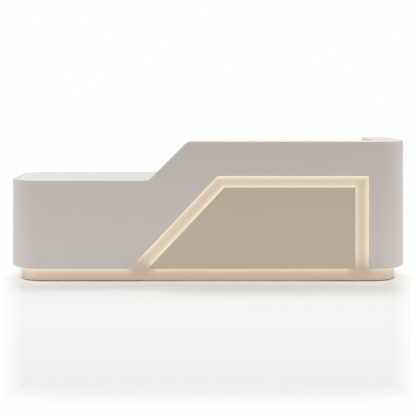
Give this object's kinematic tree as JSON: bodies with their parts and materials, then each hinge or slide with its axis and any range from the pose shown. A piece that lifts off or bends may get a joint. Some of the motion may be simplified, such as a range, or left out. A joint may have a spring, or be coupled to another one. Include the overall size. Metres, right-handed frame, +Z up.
{
  "type": "reception desk",
  "caption": "Lacquered reception desk with a low counter, a tall ledge, a floating panel in a lit channel, a staff worktop, drawers and a hinged cupboard.",
  "frame": {"origin": "on the floor, under the middle of the footprint", "axes": "+X to the visitor's right along the length, +Y from the visitor's side to the staff side, +Z up"},
  "size_m": [3, 0.8, 1.05],
  "materials": {
    "greige_lacquer": "satin warm grey lacquer on MDF",
    "pale_top": "satin pale grey lacquer on MDF",
    "taupe_lacquer": "satin taupe lacquer on MDF",
    "cream_lacquer": "matt cream lacquer on MDF",
    "white_melamine": "white melamine-faced board",
    "birch": "plain birch batten",
    "opal_silicone": "opal silicone over warm white light",
    "painted_steel": "powder-coated sheet steel",
    "brushed_steel": "plain steel hinge",
    "dark_plastic": "black moulded plastic",
    "pale_plastic": "pale moulded plastic"
  },
  "bodies": {
    "desk": {"front_panel": "greige_lacquer", "front_rail": "greige_lacquer", "left_end_shell": "greige_lacquer", "right_end_shell": "greige_lacquer", "slope_cap": "greige_lacquer", "feature_panel": "taupe_lacquer", "backing_board": "cream_lacquer", "low_counter_top": "pale_top", "staff_worktop": "pale_top", "ledge_front": "pale_top", "ledge_return": "pale_top", "ledge_gable_left": "white_melamine", "ledge_gable_middle": "white_melamine", "shell_batten": "birch", "feature_batten": "birch", "led_strip_shell": "opal_silicone", "led_strip_feature": "opal_silicone", "led_strip_plinth_left": "opal_silicone", "led_strip_plinth_middle": "opal_silicone", "led_strip_plinth_right": "opal_silicone", "led_driver": "pale_plastic", "switch_housing": "dark_plastic", "plinth_front": "cream_lacquer", "plinth_rear_left": "cream_lacquer", "plinth_rear_right": "cream_lacquer", "base_board_left": "white_melamine", "base_board_right": "white_melamine", "levelling_foot_1": "painted_steel", "levelling_foot_2": "painted_steel", "levelling_foot_3": "painted_steel", "levelling_foot_4": "painted_steel", "levelling_foot_5": "painted_steel", "levelling_foot_6": "painted_steel", "cupboard_side_left": "white_melamine", "cupboard_side_right": "white_melamine", "cupboard_shelf": "white_melamine", "hinge_frame_leaf_left": "brushed_steel", "hinge_frame_leaf_right": "brushed_steel", "hinge_pin_left": "brushed_steel", "hinge_pin_right": "brushed_steel", "pedestal_side_left": "painted_steel", "pedestal_side_right": "painted_steel", "pedestal_back": "painted_steel", "grommet_ring_left": "dark_plastic", "grommet_ring_right": "dark_plastic"},
    "door_left": {"cupboard_door_left": "greige_lacquer", "hinge_door_leaf_left": "brushed_steel"},
    "door_right": {"cupboard_door_right": "greige_lacquer", "hinge_door_leaf_right": "brushed_steel"},
    "drawer_top": {"drawer_front_top": "greige_lacquer", "drawer_box_top": "painted_steel"},
    "drawer_middle": {"drawer_front_middle": "greige_lacquer", "drawer_box_middle": "painted_steel"},
    "drawer_bottom": {"drawer_front_bottom": "greige_lacquer", "drawer_box_bottom": "painted_steel"},
    "rocker": {"switch_rocker": "pale_plastic"},
    "cap_left": {"grommet_cap_left": "dark_plastic"},
    "cap_right": {"grommet_cap_right": "dark_plastic"}
  },
  "joints": [
    {"name": "door_left_swing", "type": "hinge", "parent": "desk", "child": "door_left", "pos_m": [-1.2899, 0.3645, 0.434], "axis": [0, 0, 1], "range_deg": [0, 110]},
    {"name": "door_right_swing", "type": "hinge", "parent": "desk", "child": "door_right", "pos_m": [-0.4961, 0.3645, 0.434], "axis": [0, 0, -1], "range_deg": [0, 110]},
    {"name": "drawer_top_slide", "type": "slide", "parent": "desk", "child": "drawer_top", "axis": [0, 1, 0], "range_m": [0, 0.34]},
    {"name": "drawer_middle_slide", "type": "slide", "parent": "desk", "child": "drawer_middle", "axis": [0, 1, 0], "range_m": [0, 0.34]},
    {"name": "drawer_bottom_slide", "type": "slide", "parent": "desk", "child": "drawer_bottom", "axis": [0, 1, 0], "range_m": [0, 0.34]},
    {"name": "switch_rock", "type": "hinge", "parent": "desk", "child": "rocker", "pos_m": [0.799, 0.367, 0.7127], "axis": [-1, 0, 0], "range_deg": [0, 20]},
    {"name": "cap_left_turn", "type": "hinge", "parent": "desk", "child": "cap_left", "pos_m": [-0.185, -0.157, 0.76], "axis": [0, 0, 1], "continuous": true},
    {"name": "cap_right_turn", "type": "hinge", "parent": "desk", "child": "cap_right", "pos_m": [0.562, -0.157, 0.76], "axis": [0, 0, 1], "continuous": true}
  ]
}
